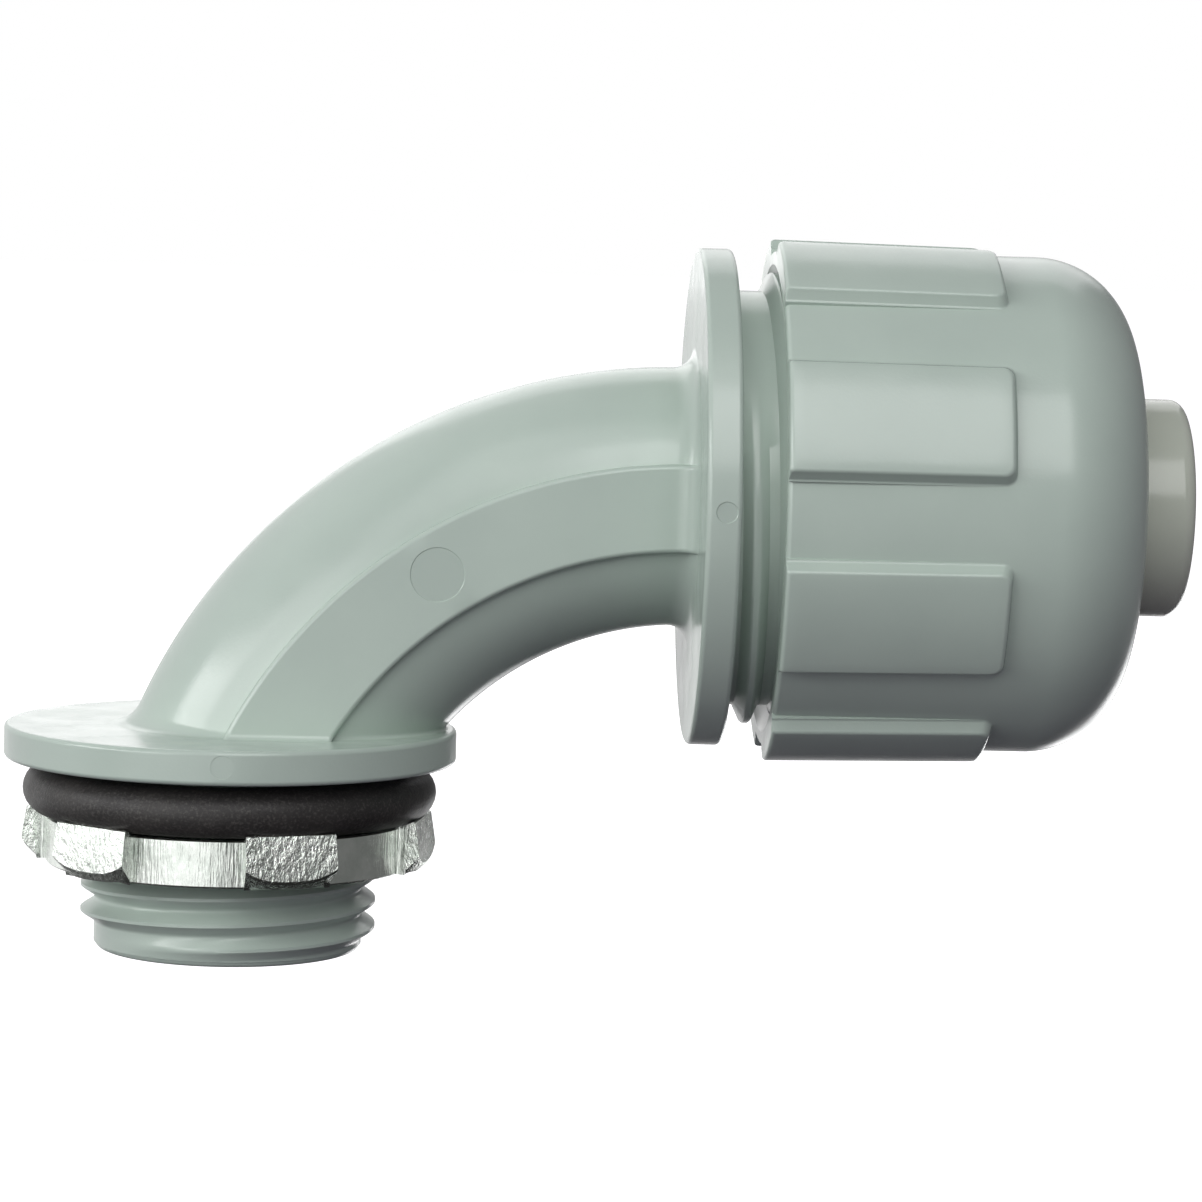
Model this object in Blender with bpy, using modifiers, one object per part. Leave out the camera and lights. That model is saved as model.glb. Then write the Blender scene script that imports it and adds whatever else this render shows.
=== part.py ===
"""Right-angle liquidtight conduit connector, half-inch trade size.

Metres, +Z up. The origin is on the spud's axis, on the underside of the lower flange, which is
the face that seats on a box wall. The gland points along +X. Threads are plain cores here.
"""

import math

import bmesh
import bpy
from mathutils import Matrix, Vector

MM = 0.001

# Clearance between neighbouring pieces
GAP = 0.3 * MM
SEGMENTS = 64
# How far joined shapes reach into each other, and cutters past a face
BURIED = 1.0 * MM

# Bore of the elbow, on a tighter arc than the outside so that the spud keeps its wall
BORE_RADIUS = 6.7 * MM
BORE_ARC_Z = -8.0 * MM
BORE_MOUTH_FLARE = 0.9 * MM
BORE_MOUTH_DEPTH = 4.0 * MM

# Elbow: its centre line is a quarter arc in the XZ plane that ends on the gland's axis
BEND_RADIUS = 31.7 * MM
BEND_Z = -12.33 * MM
BEND_X = BEND_RADIUS - 0.2 * MM
GLAND_Z = BEND_Z + BEND_RADIUS
BORE_ARC_RADIUS = GLAND_Z - BORE_ARC_Z
TUBE_WALL = 2.45 * MM
TUBE_RADIUS = BORE_RADIUS + TUBE_WALL
FOOT_HALF_DEPTH = TUBE_RADIUS + 0.45 * MM
TOP_FILLET = 1.5 * MM
FOOT_FILLET_OUTER = 1.35 * MM
FOOT_FILLET_INNER = 0.5 * MM

# Flat pads on the elbow's two sides, as offsets from the centre line
PAD_INNER = -3.4 * MM
PAD_OUTER = 2.7 * MM
PAD_HALF_WIDTH = TUBE_RADIUS + 0.15 * MM
PAD_BEVEL = 0.3 * MM

# Spud, from the flange's underside at zero down to its mouth
SPUD_WALL = 2.8 * MM
SPUD_RADIUS = BORE_RADIUS + SPUD_WALL
SPUD_THREAD_LENGTH = 12.3 * MM
SPUD_LEAD_STEP = 0.25 * MM
SPUD_LEAD_LENGTH = 1.2 * MM
SPUD_ROUND = 0.6 * MM
SPUD_END_Z = -(SPUD_THREAD_LENGTH + SPUD_LEAD_LENGTH)

# O-ring under the flange, which overhangs it
O_RING_CORD = 1.75 * MM
O_RING_INNER = SPUD_RADIUS + 1.65 * MM
O_RING_CENTER = O_RING_INNER + O_RING_CORD
O_RING_OUTER = O_RING_CENTER + O_RING_CORD
O_RING_Z = -(GAP + O_RING_CORD)
FLANGE_RADIUS = O_RING_OUTER + 1.35 * MM
FLANGE_HEIGHT = 2.4 * MM
FLANGE_ROUND = 0.35 * MM

# Locknut under the O-ring; its lugs turn up outside the ring's middle
LOCKNUT_TOP_Z = O_RING_Z - O_RING_CORD - GAP
LOCKNUT_THICKNESS = 3.3 * MM
LOCKNUT_BORE = SPUD_RADIUS + GAP
LOCKNUT_EDGE = 0.3 * MM
LOCKNUT_LUGS = 6
LUG_ANGLE = math.radians(26.0)
LOCKNUT_TURN = math.radians(-69.75)
LUG_ROOT_RADIUS = O_RING_CENTER + GAP
LUG_TURN_UP = 0.3 * MM
LUG_TIP_RADIUS = LUG_ROOT_RADIUS + 0.8 * MM
LUG_RADIUS = LUG_TIP_RADIUS + 0.7 * MM
NOTCH_RADIUS = LUG_ROOT_RADIUS - 0.2 * MM

# Gland: the socket for the conduit, and the neck round it, along +X from the end of the bend
CONDUIT_HOLE = 11.1 * MM
SOCKET_RADIUS = CONDUIT_HOLE
NECK_WALL = 3.6 * MM
NECK_RADIUS = SOCKET_RADIUS + NECK_WALL
NUT_WALL = 2.6 * MM
NUT_BORE = NECK_RADIUS + GAP
NUT_RADIUS = NUT_BORE + NUT_WALL
UPPER_FLANGE_X = BEND_X + 0.7 * MM
UPPER_FLANGE_RADIUS = NUT_RADIUS
UPPER_FLANGE_THICKNESS = 2.4 * MM
NECK_X = UPPER_FLANGE_X + UPPER_FLANGE_THICKNESS
NECK_LENGTH = 16.0 * MM
NECK_END_X = NECK_X + NECK_LENGTH
NECK_CHAMFER = 0.5 * MM
SOCKET_X = NECK_X + 3.1 * MM
SEAT_FLARE = 1.5 * MM
SEAT_DEPTH = 2.0 * MM

# Split compression ring between the neck's mouth and the nut's cone
RING_X = NECK_END_X + 2.7 * MM
RING_LENGTH = 5.6 * MM
RING_END_X = RING_X + RING_LENGTH
RING_INNER = CONDUIT_HOLE - 0.1 * MM
RING_RADIUS = NUT_BORE - 1.1 * MM
RING_NOSE_RADIUS = RING_RADIUS - 1.7 * MM
RING_NOSE_LENGTH = 3.4 * MM
RING_EDGE = 0.8 * MM
RING_SPLIT = 1.2 * MM

# Compression nut: ribbed barrel and dome, standing off the upper flange
NUT_X = NECK_X + 3.0 * MM
NUT_LEAD_IN = 2.0 * MM
NUT_CHAMBER_X = RING_END_X - 2.9 * MM
NUT_CONE_X = RING_END_X + 2.1 * MM
DOME_X = RING_END_X - 2.7 * MM
DOME_LENGTH = 6.7 * MM
DOME_EDGE = 0.4 * MM
RIBS = 8
RIB_ANGLE = math.radians(24.8)
RIB_TURN = math.radians(21.2)
RIB_END_X = DOME_X - 3.4 * MM
RIB_RADIUS = NUT_RADIUS + 1.05 * MM
RIB_END_RADIUS = NUT_RADIUS + 0.8 * MM
RIB_BEVEL = 0.35 * MM
RIB_CORNER = 1.2 * MM

# Ferrule: the conduit's inner sleeve, its collar against the socket's shoulder
FERRULE_INNER = 6.6 * MM
FERRULE_WALL = 1.15 * MM
FERRULE_X = SOCKET_X + GAP
FERRULE_END_X = DOME_X + DOME_LENGTH + 4.2 * MM
COLLAR_RADIUS = SOCKET_RADIUS - 0.4 * MM
COLLAR_LENGTH = 1.5 * MM
FERRULE_ROUND = 1.0 * MM


def clear_scene():
    for obj in list(bpy.data.objects):
        bpy.data.objects.remove(obj, do_unlink=True)


def make_collection(name):
    collection = bpy.data.collections.new(name)
    bpy.context.scene.collection.children.link(collection)
    return collection


def make_material(name, color, roughness, metallic=0.0):
    material = bpy.data.materials.new(name)
    material.use_nodes = True
    shader = material.node_tree.nodes["Principled BSDF"]
    shader.inputs["Base Color"].default_value = (*color, 1.0)
    shader.inputs["Roughness"].default_value = roughness
    shader.inputs["Metallic"].default_value = metallic
    return material


def add_object(name, mesh, collection, matrix=None):
    obj = bpy.data.objects.new(name, mesh)
    collection.objects.link(obj)
    obj.matrix_world = matrix or Matrix.Identity(4)
    return obj


def axis_frame(axis, origin):
    """Matrix that takes local +Z to the given axis, with its origin on that axis."""
    turn = Vector((0, 0, 1)).rotation_difference(Vector(axis)).to_matrix().to_4x4()
    return Matrix.Translation(Vector(origin)) @ turn


def rounded(center, radius, start, end, steps=4):
    """Points of an arc in the profile plane, between two angles in degrees."""
    points = []
    for i in range(steps + 1):
        angle = math.radians(start + (end - start) * i / steps)
        points.append(
            (center[0] + radius * math.cos(angle), center[1] + radius * math.sin(angle))
        )
    return points


def turned(name, profile, collection, matrix, closed=False, segments=SEGMENTS):
    """Body of revolution. The profile is (radius, height) pairs, its outer side top to bottom."""
    bm = bmesh.new()
    verts = [bm.verts.new((r, 0, z)) for r, z in profile]
    for a, b in zip(verts, verts[1:]):
        bm.edges.new((a, b))
    if closed:
        bm.edges.new((verts[-1], verts[0]))
    mesh = bpy.data.meshes.new(name)
    bm.to_mesh(mesh)
    bm.free()
    obj = add_object(name, mesh, collection, matrix)
    screw = obj.modifiers.new("Turn", "SCREW")
    screw.steps = segments
    screw.render_steps = segments
    screw.use_merge_vertices = True
    screw.merge_threshold = 0.000001
    return obj


def loft(name, rings, collection):
    """Closed skin through rings of equal length, with a cap on the first and the last."""
    bm = bmesh.new()
    rows = [[bm.verts.new(p) for p in ring] for ring in rings]
    count = len(rings[0])
    for low, high in zip(rows, rows[1:]):
        for i in range(count):
            j = (i + 1) % count
            bm.faces.new((low[i], low[j], high[j], high[i]))
    bm.faces.new(reversed(rows[0]))
    bm.faces.new(rows[-1])
    bmesh.ops.recalc_face_normals(bm, faces=bm.faces)
    mesh = bpy.data.meshes.new(name)
    bm.to_mesh(mesh)
    bm.free()
    return add_object(name, mesh, collection)


def boolean(obj, other, operation):
    other.hide_render = True
    other.display_type = "WIRE"
    modifier = obj.modifiers.new(other.name, "BOOLEAN")
    modifier.operation = operation
    modifier.solver = "EXACT"
    modifier.object = other


def finish(obj, material):
    """Applies the modifiers and shades the round faces smooth."""
    bpy.context.view_layer.update()
    evaluated = obj.evaluated_get(bpy.context.evaluated_depsgraph_get())
    mesh = bpy.data.meshes.new_from_object(evaluated)
    obj.modifiers.clear()
    obj.data = mesh
    mesh.materials.clear()
    mesh.materials.append(material)
    mesh.shade_smooth()
    mesh.set_sharp_from_angle(angle=math.radians(35))


def bend_point(offset, y, angle):
    """Point on the arc that runs at this offset from the centre line, from 0 at the spud."""
    reach = BEND_RADIUS + offset
    return Vector((BEND_X - reach * math.cos(angle), y, BEND_Z + reach * math.sin(angle)))


def angle_at_height(offset, z):
    return math.asin((z - BEND_Z) / (BEND_RADIUS + offset))


def point_at_x(offset, y, x):
    """The same arc cut by a plane across X, or its straight run past the end of the bend."""
    if x >= BEND_X:
        return Vector((x, y, BEND_Z + BEND_RADIUS + offset))
    return bend_point(offset, y, math.acos((BEND_X - x) / (BEND_RADIUS + offset)))


def fillet_steps(count=4):
    """(distance from the flange, widening) pairs of a unit quarter round, wall to flange."""
    angles = [math.pi / 2 * i / count for i in range(count + 1)]
    return [(1 - math.sin(a), 1 - math.cos(a)) for a in angles]


def elbow_tube(collection):
    """Oval tube along the bend, widening in a fillet at both flanges."""
    around = 48
    along = 18
    turns = [math.tau * i / around for i in range(around)]

    def section(depth, widening):
        return [
            ((depth + widening(t)) * math.cos(t), (TUBE_RADIUS + widening(t)) * math.sin(t))
            for t in turns
        ]

    def foot_fillet(t):
        share = (1 + math.cos(t)) / 2
        return FOOT_FILLET_INNER + (FOOT_FILLET_OUTER - FOOT_FILLET_INNER) * share

    rings = []
    for away, wider in reversed(fillet_steps()):
        outline = section(FOOT_HALF_DEPTH, lambda t: wider * foot_fillet(t))
        heights = [FLANGE_HEIGHT + away * foot_fillet(t) for t in turns]
        if not rings:
            rings.append([
                bend_point(u, y, angle_at_height(u, FLANGE_HEIGHT - BURIED)) for u, y in outline
            ])
        rings.append([
            bend_point(u, y, angle_at_height(u, z)) for (u, y), z in zip(outline, heights)
        ])
    starts = [
        angle_at_height(FOOT_HALF_DEPTH * math.cos(t), FLANGE_HEIGHT + foot_fillet(t))
        for t in turns
    ]
    for step in range(1, along):
        share = step / along
        depth = FOOT_HALF_DEPTH + (TUBE_RADIUS - FOOT_HALF_DEPTH) * share
        ring = []
        for (u, y), start in zip(section(depth, lambda t: 0.0), starts):
            end = math.acos((BEND_X - UPPER_FLANGE_X + TOP_FILLET) / (BEND_RADIUS + u))
            ring.append(bend_point(u, y, start + (end - start) * share))
        rings.append(ring)
    for away, wider in fillet_steps():
        outline = section(TUBE_RADIUS, lambda t: wider * TOP_FILLET)
        rings.append([
            point_at_x(u, y, UPPER_FLANGE_X - away * TOP_FILLET) for u, y in outline
        ])
    outline = section(TUBE_RADIUS, lambda t: TOP_FILLET)
    rings.append([point_at_x(u, y, UPPER_FLANGE_X + BURIED) for u, y in outline])
    return loft("tube", rings, collection)


def elbow_pads(collection):
    """One band through the tube, whose two bevelled sides stand out as the flat pads.

    It widens at both flanges with the tube's fillets, and so stays proud of them.
    """
    along = 16
    edge = PAD_BEVEL
    fillet = (FOOT_FILLET_OUTER + FOOT_FILLET_INNER) / 2

    def outline(wider):
        half = PAD_HALF_WIDTH + wider
        near = [
            (PAD_INNER, edge - half),
            (PAD_INNER + edge, -half),
            (PAD_OUTER - edge, -half),
            (PAD_OUTER, edge - half),
        ]
        return near + [(u, -y) for u, y in reversed(near)]

    def level_ring(wider, z):
        return [bend_point(u, y, angle_at_height(u, z)) for u, y in outline(wider)]

    def upright_ring(wider, x):
        return [point_at_x(u, y, x) for u, y in outline(wider)]

    rings = [level_ring(fillet, FLANGE_HEIGHT - BURIED)]
    for away, wider in reversed(fillet_steps()):
        rings.append(level_ring(wider * fillet, FLANGE_HEIGHT + away * fillet))
    for step in range(1, along):
        ring = []
        for u, y in outline(0.0):
            start = angle_at_height(u, FLANGE_HEIGHT + fillet)
            end = math.acos((BEND_X - UPPER_FLANGE_X + TOP_FILLET) / (BEND_RADIUS + u))
            ring.append(bend_point(u, y, start + (end - start) * step / along))
        rings.append(ring)
    for away, wider in fillet_steps():
        rings.append(upright_ring(wider * TOP_FILLET, UPPER_FLANGE_X - away * TOP_FILLET))
    rings.append(upright_ring(TOP_FILLET, UPPER_FLANGE_X + BURIED / 2))
    return loft("pads", rings, collection)


def bore_cutter(collection):
    """Passage from the spud's mouth round to the gland, flared at the mouth."""
    around = 36
    along = 16
    mouth = SPUD_END_Z
    straight = [
        (mouth - BURIED, BORE_RADIUS + BORE_MOUTH_FLARE),
        (mouth + BURIED, BORE_RADIUS + BORE_MOUTH_FLARE),
        (mouth + BORE_MOUTH_DEPTH, BORE_RADIUS),
    ]
    turns = [math.tau * i / around for i in range(around)]
    rings = [
        [Vector((-r * math.cos(t), r * math.sin(t), z)) for t in turns] for z, r in straight
    ]
    center = Vector((BORE_ARC_RADIUS, 0, BORE_ARC_Z))
    for step in range(along + 1):
        turn = math.pi / 2 * step / along
        outward = Vector((-math.cos(turn), 0, math.sin(turn)))
        rings.append([
            center
            + outward * (BORE_ARC_RADIUS + BORE_RADIUS * math.cos(t))
            + Vector((0, BORE_RADIUS * math.sin(t), 0))
            for t in turns
        ])
    rings.append([
        Vector((SOCKET_X + BURIED, BORE_RADIUS * math.sin(t), GLAND_Z + BORE_RADIUS * math.cos(t)))
        for t in turns
    ])
    return loft("bore", rings, collection)


def foot_profile():
    """Lower flange and spud. The point at the ring's outer edge bounds the seating land."""
    lip = FLANGE_ROUND
    end = SPUD_END_Z
    lead = SPUD_RADIUS - SPUD_LEAD_STEP
    return [
        (0, FLANGE_HEIGHT),
        *rounded((FLANGE_RADIUS - lip, FLANGE_HEIGHT - lip), lip, 90, 0, 3),
        *rounded((FLANGE_RADIUS - lip, lip), lip, 0, -90, 3),
        (O_RING_OUTER + GAP, 0),
        (SPUD_RADIUS, 0),
        (SPUD_RADIUS, -SPUD_THREAD_LENGTH),
        (lead, -SPUD_THREAD_LENGTH - SPUD_LEAD_STEP),
        *rounded((lead - SPUD_ROUND, end + SPUD_ROUND), SPUD_ROUND, 0, -90),
        (0, end),
    ]


def neck_profile():
    """Upper flange and gland neck, with heights along +X."""
    lip = FLANGE_ROUND
    edge = UPPER_FLANGE_RADIUS - lip
    return [
        (0, NECK_END_X),
        (NECK_RADIUS - NECK_CHAMFER, NECK_END_X),
        (NECK_RADIUS, NECK_END_X - NECK_CHAMFER),
        (NECK_RADIUS, NECK_X),
        *rounded((edge, NECK_X - lip), lip, 90, 0, 3),
        *rounded((edge, UPPER_FLANGE_X + lip), lip, 0, -90, 3),
        (0, UPPER_FLANGE_X),
    ]


def counterbore_profile():
    """Socket for the ferrule's collar and the conduit, with a seat for the compression ring."""
    return [
        (0, NECK_END_X + BURIED),
        (SOCKET_RADIUS + SEAT_FLARE, NECK_END_X + BURIED),
        (SOCKET_RADIUS + SEAT_FLARE, NECK_END_X),
        (SOCKET_RADIUS, NECK_END_X - SEAT_DEPTH),
        (SOCKET_RADIUS, SOCKET_X),
        (0, SOCKET_X),
    ]


def make_elbow_body(parts, helpers, material):
    """Foot, curved tube, pads and gland neck in one moulding, bored through."""
    gland = axis_frame((1, 0, 0), (0, 0, GLAND_Z))
    body = turned("elbow_body", foot_profile(), parts, Matrix.Identity(4))
    boolean(body, elbow_tube(helpers), "UNION")
    boolean(body, elbow_pads(helpers), "UNION")
    boolean(body, turned("neck", neck_profile(), helpers, gland), "UNION")
    boolean(body, bore_cutter(helpers), "DIFFERENCE")
    boolean(body, turned("socket", counterbore_profile(), helpers, gland), "DIFFERENCE")
    finish(body, material)
    return body


def make_o_ring(parts, material):
    bpy.ops.mesh.primitive_torus_add(
        major_segments=48,
        minor_segments=12,
        major_radius=O_RING_CENTER,
        minor_radius=O_RING_CORD,
        location=(0, 0, O_RING_Z),
    )
    ring = bpy.context.active_object
    ring.name = "o_ring"
    for collection in list(ring.users_collection):
        collection.objects.unlink(ring)
    parts.objects.link(ring)
    finish(ring, material)
    return ring


def make_locknut(parts, helpers, material):
    """Stamped plate nut. Its lugs turn up towards the flange, and the notches between take a tool."""
    thickness = LOCKNUT_THICKNESS
    tip = LUG_TIP_RADIUS
    notch = NOTCH_RADIUS
    profile = [
        (LOCKNUT_BORE + LOCKNUT_EDGE, 0),
        (LUG_ROOT_RADIUS, 0),
        (tip, LUG_TURN_UP),
        (LUG_RADIUS, -thickness * 0.7),
        (LUG_RADIUS - 1.0 * MM, -thickness),
        (LOCKNUT_BORE + LOCKNUT_EDGE, -thickness),
        (LOCKNUT_BORE, LOCKNUT_EDGE - thickness),
        (LOCKNUT_BORE, -LOCKNUT_EDGE),
    ]
    place = Matrix.Translation((0, 0, LOCKNUT_TOP_Z))
    nut = turned("locknut", profile, parts, place, closed=True, segments=72)
    pitch = math.tau / LOCKNUT_LUGS
    width = pitch - LUG_ANGLE
    outer = LUG_RADIUS + 2 * BURIED
    low = LOCKNUT_TOP_Z - thickness - BURIED
    high = LOCKNUT_TOP_Z + LUG_TURN_UP + BURIED
    for index in range(LOCKNUT_LUGS):
        middle = LOCKNUT_TURN + pitch * (index + 0.5)
        angles = [middle + width * (i / 4 - 0.5) for i in range(5)]
        outline = [(notch, a) for a in angles] + [(outer, a) for a in reversed(angles)]
        rings = [
            [Vector((r * math.cos(a), r * math.sin(a), z)) for r, a in outline]
            for z in (low, high)
        ]
        boolean(nut, loft(f"notch_{index + 1}", rings, helpers), "DIFFERENCE")
    finish(nut, material)
    return nut


def make_ferrule(parts, material):
    outer = FERRULE_INNER + FERRULE_WALL
    start = FERRULE_X
    end = FERRULE_END_X
    collar = start + COLLAR_LENGTH
    nose = outer - FERRULE_ROUND
    profile = [
        (FERRULE_INNER, end),
        *rounded((nose, end - FERRULE_ROUND), FERRULE_ROUND, 90, 0),
        (outer, collar),
        (COLLAR_RADIUS, collar),
        (COLLAR_RADIUS, start),
        (FERRULE_INNER, start),
    ]
    place = axis_frame((1, 0, 0), (0, 0, GLAND_Z))
    ferrule = turned("ferrule", profile, parts, place, closed=True, segments=40)
    finish(ferrule, material)
    return ferrule


def make_compression_ring(parts, helpers, material):
    """Soft ring, cut through at the top so that the nut's cone can close it on the conduit."""
    end = RING_END_X
    outer = RING_RADIUS
    profile = [
        (RING_NOSE_RADIUS, end),
        (outer, end - RING_NOSE_LENGTH),
        (outer, RING_X + RING_EDGE),
        (outer - RING_EDGE, RING_X),
        (RING_INNER, RING_X),
        (RING_INNER, end),
    ]
    place = axis_frame((1, 0, 0), (0, 0, GLAND_Z))
    ring = turned("compression_ring", profile, parts, place, closed=True, segments=48)
    bpy.ops.mesh.primitive_cube_add(size=1, location=((RING_X + end) / 2, 0, GLAND_Z + outer))
    slit = bpy.context.active_object
    slit.name = "ring_slit"
    slit.scale = (RING_LENGTH + 2 * BURIED, RING_SPLIT, 2 * (outer - RING_INNER) + BURIED)
    for collection in list(slit.users_collection):
        collection.objects.unlink(slit)
    helpers.objects.link(slit)
    boolean(ring, slit, "DIFFERENCE")
    finish(ring, material)
    return ring


def nut_profile():
    """Barrel and dome outside; threaded bore, chamber and closing cone inside."""
    dome_rise = NUT_RADIUS - CONDUIT_HOLE
    dome = [
        (
            CONDUIT_HOLE + dome_rise * math.cos(math.radians(a)),
            DOME_X + DOME_LENGTH * math.sin(math.radians(a)),
        )
        for a in (84, 75, 65, 55, 44, 33, 22, 11, 0)
    ]
    end = DOME_X + DOME_LENGTH
    return [
        (CONDUIT_HOLE, end - DOME_EDGE),
        (CONDUIT_HOLE + DOME_EDGE * 0.5, end - DOME_EDGE * 0.1),
        *dome,
        (NUT_RADIUS, NUT_X + RIB_BEVEL),
        (NUT_RADIUS - RIB_BEVEL, NUT_X),
        (NUT_BORE + NUT_LEAD_IN, NUT_X),
        (NUT_BORE, NUT_X + NUT_LEAD_IN),
        (NUT_BORE, NUT_CHAMBER_X),
        (CONDUIT_HOLE, NUT_CONE_X),
    ]


def rib_rings(middle):
    """Cross-sections of one rib, side to side: bevelled at the rim, round-cornered at the dome."""
    half = RIB_ANGLE / 2
    bevel = RIB_BEVEL / RIB_RADIUS
    corner = RIB_CORNER / RIB_RADIUS
    base = NUT_RADIUS - BURIED
    end = RIB_END_X
    sides = [half, half - bevel, half - corner * 0.6, half - corner]
    inner = [half * share for share in (0.5, 0.0, -0.5)]
    rings = []
    for offset in sides + inner + [-a for a in reversed(sides)]:
        into = max(0.0, 1 - (half - abs(offset)) / corner)
        back = RIB_CORNER * (1 - math.sqrt(max(0.0, 1 - into * into)))
        drop = RIB_BEVEL if abs(offset) > half - bevel / 2 else 0.0
        section = [
            (base, NUT_X),
            (RIB_RADIUS - RIB_BEVEL, NUT_X),
            (RIB_RADIUS - drop, NUT_X + RIB_BEVEL),
            (RIB_END_RADIUS - drop, end - back - RIB_BEVEL),
            (RIB_END_RADIUS - RIB_BEVEL, end - back),
            (base, end - back),
        ]
        angle = middle + offset
        rings.append([
            Vector((x, -r * math.cos(angle), GLAND_Z + r * math.sin(angle))) for r, x in section
        ])
    return rings


def make_compression_nut(parts, helpers, material):
    """Domed cap with rounded grip ribs, its cone closing the ring on the conduit."""
    gland = axis_frame((1, 0, 0), (0, 0, GLAND_Z))
    nut = turned("compression_nut", nut_profile(), parts, gland, closed=True)
    for index in range(RIBS):
        middle = RIB_TURN + math.tau * index / RIBS
        rib = loft(f"rib_{index + 1}", rib_rings(middle), helpers)
        boolean(nut, rib, "UNION")
    finish(nut, material)
    return nut


def main():
    clear_scene()
    parts = make_collection("Liquidtight conduit connector")
    helpers = make_collection("Cutters")
    plastic = make_material("grey_green_nylon", (0.46, 0.53, 0.48), 0.42)
    sleeve = make_material("ferrule_nylon", (0.26, 0.29, 0.25), 0.45)
    soft = make_material("ring_nylon", (0.55, 0.57, 0.54), 0.5)
    rubber = make_material("black_rubber", (0.03, 0.03, 0.032), 0.55)
    zinc = make_material("zinc", (0.55, 0.58, 0.56), 0.35, 0.9)

    make_elbow_body(parts, helpers, plastic)
    make_o_ring(parts, rubber)
    make_locknut(parts, helpers, zinc)
    make_ferrule(parts, sleeve)
    make_compression_ring(parts, helpers, soft)
    make_compression_nut(parts, helpers, plastic)


main()
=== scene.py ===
"""Looks of the right-angle liquidtight conduit connector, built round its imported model.

Metres, in the model's frame: +Z up along the spud's axis, +X along the gland's axis.
Every piece replaces its plain solid with a finer one of the same size. The spud, the gland neck
and both nuts get their threads here, on helices that the nuts follow as they turn.
"""

import math

import bmesh
import bpy
import numpy as np
from mathutils import Matrix, Vector


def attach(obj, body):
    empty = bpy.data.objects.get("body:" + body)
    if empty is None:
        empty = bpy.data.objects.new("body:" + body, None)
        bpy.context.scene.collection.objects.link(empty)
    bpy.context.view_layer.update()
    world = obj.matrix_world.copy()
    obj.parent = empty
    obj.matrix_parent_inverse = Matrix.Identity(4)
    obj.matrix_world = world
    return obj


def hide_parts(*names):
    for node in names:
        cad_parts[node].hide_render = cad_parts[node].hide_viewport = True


MM = 0.001
SEGMENTS = 160

# Camera, at the photograph's viewing angle
CAMERA_TARGET = Vector((26.041, 0.0, 11.765)) * MM
CAMERA_DISTANCE = 284.7 * MM
CAMERA_AZIMUTH = math.radians(2.463)
CAMERA_ELEVATION = math.radians(4.870)
CAMERA_ROLL = math.radians(-1.553)
CAMERA_LENS = 119.8
CAMERA_SENSOR = 36.0

# Light. A lamp has a name, a place, a size and a power, in metres and watts.
LAMPS = [
    ("softbox", (0.10, -0.49, 0.37), (0.30, 0.40), 1.2),
    ("front", (-0.40, -0.45, 0.20), (0.30, 0.30), 0.78),
    ("window", (-0.30, -0.55, 0.08), (0.55, 0.26), 0.4),
    ("key", (-0.10, -0.36, 0.50), (0.42, 0.42), 0.58),
    ("side", (-0.56, -0.19, 0.20), (0.34, 0.16), 1.15),
    ("back", (0.05, 0.50, 0.35), (0.50, 0.40), 0.7),
    ("horizon", (-0.05, 0.60, 0.08), (0.20, 0.10), 0.05),
]
LAMP_TARGET = Vector((26, 0, 12)) * MM
AMBIENT = 0.19
AMBIENT_TINT = (1.05, 0.93, 1.12)

# What gloss mirrors, by direction: (direction, near, far, low, high) of Nodes.toward
WHITE_SCREENS = ((-1.0, 0.8, 0.0), 0.35, 0.9, 0.16, 1.0)
ABOVE_FLOOR = ((0.0, 0.0, 1.0), -0.45, -0.3, 0.15, 1.0)
FRONT_CARD = ((-0.42, -0.90, -0.08), 0.82, 0.93, 0.0, 1.15)
LOW_GLEAM = ((0.35, 0.88, -0.31), 0.976, 0.988, 0.0, 2.8)

# Floor: its glow rises to white away from the object
FLOOR_Z = -45 * MM
FLOOR_SEEN = (0.8, 0.8, 0.8)
FLOOR_BOUNCE = (0.19, 0.17, 0.205)
FLOOR_GLOW_REACH = (0.1, 0.6)
FLOOR_GLOW = (0.8, 1.0)

# Elbow, flanges and bore
BEND_RADIUS = 31.7 * MM
BEND_Z = -12.33 * MM
BEND_X = BEND_RADIUS - 0.2 * MM
GLAND_Z = BEND_Z + BEND_RADIUS
TUBE_RADIUS = 9.15 * MM
FOOT_HALF_DEPTH = 9.6 * MM
FOOT_FILLET_OUTER = 1.35 * MM
FOOT_FILLET_INNER = 0.35 * MM
TOP_FILLET = 1.5 * MM
PAD_INNER = -3.4 * MM
PAD_OUTER = 2.7 * MM
PAD_HALF_WIDTH = 9.3 * MM
PAD_EDGE = 0.35 * MM
PAD_FOOT_FILLET = 0.45 * MM
PAD_FOOT_FLARE = 0.5 * MM
FLANGE_RADIUS = 16.0 * MM
FLANGE_HEIGHT = 2.4 * MM
FLANGE_ROUND = 0.35 * MM
UPPER_FLANGE_X = 32.2 * MM
UPPER_FLANGE_RADIUS = 17.6 * MM
NECK_X = 34.6 * MM
NECK_END_X = 50.6 * MM
NECK_CHAMFER = 0.6 * MM
BORE_RADIUS = 6.7 * MM
BORE_ARC_Z = -8.0 * MM
BORE_MOUTH_FLARE = 0.9 * MM
BORE_MOUTH_DEPTH = 4.0 * MM
SOCKET_RADIUS = 11.1 * MM
SOCKET_X = 37.7 * MM
SEAT_FLARE = 1.5 * MM
SEAT_DEPTH = 2.0 * MM
BURIED = 1.0 * MM

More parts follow.
